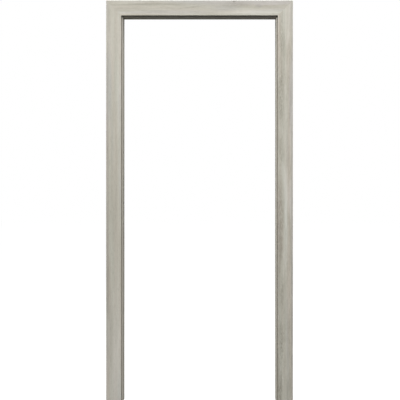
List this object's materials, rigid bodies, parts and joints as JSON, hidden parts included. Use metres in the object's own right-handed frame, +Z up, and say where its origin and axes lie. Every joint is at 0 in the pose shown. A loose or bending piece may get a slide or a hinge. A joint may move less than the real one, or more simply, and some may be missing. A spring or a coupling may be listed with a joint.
{
  "type": "door frame",
  "caption": "Wrap-around door frame with mitred flat casings, rebate with seal, hinge sockets and strike plate, and a rear casing that slides to suit the wall",
  "frame": {"origin": "middle of the frame's width and depth, on the floor line", "axes": "+X to the right seen from the front casing, +Y from the front casing to the rear casing, +Z up"},
  "size_m": [0.986, 0.15, 2.116],
  "materials": {
    "oak_foil": "matt grey-beige oak foil on board, fine straight grain along each board",
    "seal": "matt grey-beige seal",
    "zinc_steel": "zinc-plated steel",
    "strike_steel": "satin nickel-plated steel",
    "cam_zinc": "cast zinc",
    "key_plastic": "black nylon",
    "box_plastic": "dark grey moulded plastic"
  },
  "bodies": {
    "fixed_frame": {"lining_left": "oak_foil", "front_casing_left": "oak_foil", "gasket_left": "seal", "lining_right": "oak_foil", "front_casing_right": "oak_foil", "gasket_right": "seal", "lining_head": "oak_foil", "front_casing_head": "oak_foil", "gasket_head": "seal", "corner_cams_left": "cam_zinc", "corner_bolts_left": "zinc_steel", "front_key_left": "key_plastic", "corner_cams_right": "cam_zinc", "corner_bolts_right": "zinc_steel", "front_key_right": "key_plastic", "hinge_receiver_top": "zinc_steel", "hinge_receiver_middle": "zinc_steel", "hinge_receiver_bottom": "zinc_steel", "hinge_clamp_screws": "zinc_steel", "strike_plate": "strike_steel", "strike_box": "box_plastic"},
    "rear_frame": {"rear_casing_left": "oak_foil", "rear_tongue_left": "oak_foil", "rear_casing_right": "oak_foil", "rear_tongue_right": "oak_foil", "rear_casing_head": "oak_foil", "rear_tongue_head": "oak_foil", "rear_key_left": "key_plastic", "rear_key_right": "key_plastic"}
  },
  "joints": [
    {"name": "rear_casing_adjust", "type": "slide", "parent": "fixed_frame", "child": "rear_frame", "axis": [0, 1, 0], "range_m": [0, 0.02]}
  ]
}
